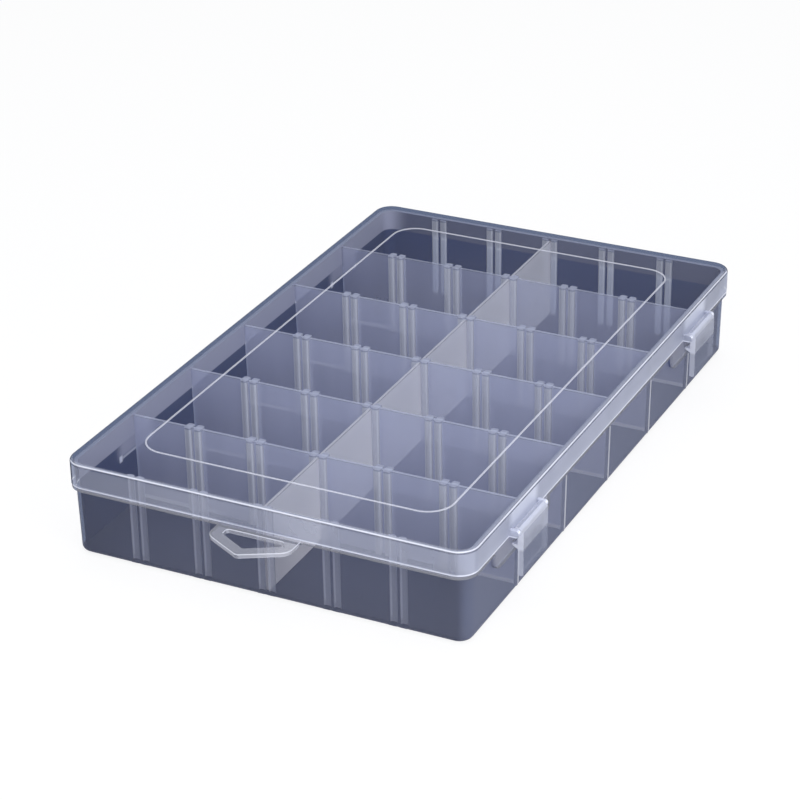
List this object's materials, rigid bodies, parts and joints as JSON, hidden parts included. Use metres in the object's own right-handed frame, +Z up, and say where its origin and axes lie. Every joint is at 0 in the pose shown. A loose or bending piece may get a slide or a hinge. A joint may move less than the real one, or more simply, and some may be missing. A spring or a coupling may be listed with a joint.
{
  "type": "divider storage case",
  "caption": "Shallow clear plastic storage case: tray with fixed cross walls and slotted ribs, loose dividers, hinged skirted lid, swing latches and a hang tab.",
  "frame": {"origin": "centre of the tray's flat bottom face", "axes": "+X towards the latches, -Y towards the hang tab, +Z up"},
  "size_m": [0.1783, 0.2931, 0.0404],
  "materials": {
    "tray_plastic": "clear, glossy",
    "lid_plastic": "clear, glossy",
    "latch_plastic": "clear, glossy",
    "divider_plastic": "hazy clear, satin"
  },
  "bodies": {
    "tray": {"tray": "tray_plastic"},
    "lid": {"lid": "lid_plastic"},
    "latch_front": {"latch_front": "latch_plastic"},
    "latch_rear": {"latch_rear": "latch_plastic"},
    "divider_1": {"divider_1": "divider_plastic"},
    "divider_2": {"divider_2": "divider_plastic"},
    "divider_3": {"divider_3": "divider_plastic"},
    "divider_4": {"divider_4": "divider_plastic"},
    "divider_5": {"divider_5": "divider_plastic"},
    "divider_6": {"divider_6": "divider_plastic"}
  },
  "joints": [
    {"name": "lid_hinge", "type": "hinge", "parent": "tray", "child": "lid", "pos_m": [-0.0862, 0, 0.0264], "axis": [0, -1, 0], "range_deg": [0, 180]},
    {"name": "latch_front_swing", "type": "hinge", "parent": "lid", "child": "latch_front", "pos_m": [0.0875, -0.09, 0.0309], "axis": [0, -1, 0], "range_deg": [0, 100]},
    {"name": "latch_rear_swing", "type": "hinge", "parent": "lid", "child": "latch_rear", "pos_m": [0.0875, 0.09, 0.0309], "axis": [0, -1, 0], "range_deg": [0, 100]},
    {"name": "divider_1_lift", "type": "slide", "parent": "tray", "child": "divider_1", "axis": [0, 0, 1], "range_m": [0, 0.0007]},
    {"name": "divider_2_lift", "type": "slide", "parent": "tray", "child": "divider_2", "axis": [0, 0, 1], "range_m": [0, 0.0007]},
    {"name": "divider_3_lift", "type": "slide", "parent": "tray", "child": "divider_3", "axis": [0, 0, 1], "range_m": [0, 0.0007]},
    {"name": "divider_4_lift", "type": "slide", "parent": "tray", "child": "divider_4", "axis": [0, 0, 1], "range_m": [0, 0.0007]},
    {"name": "divider_5_lift", "type": "slide", "parent": "tray", "child": "divider_5", "axis": [0, 0, 1], "range_m": [0, 0.0007]},
    {"name": "divider_6_lift", "type": "slide", "parent": "tray", "child": "divider_6", "axis": [0, 0, 1], "range_m": [0, 0.0007]}
  ]
}
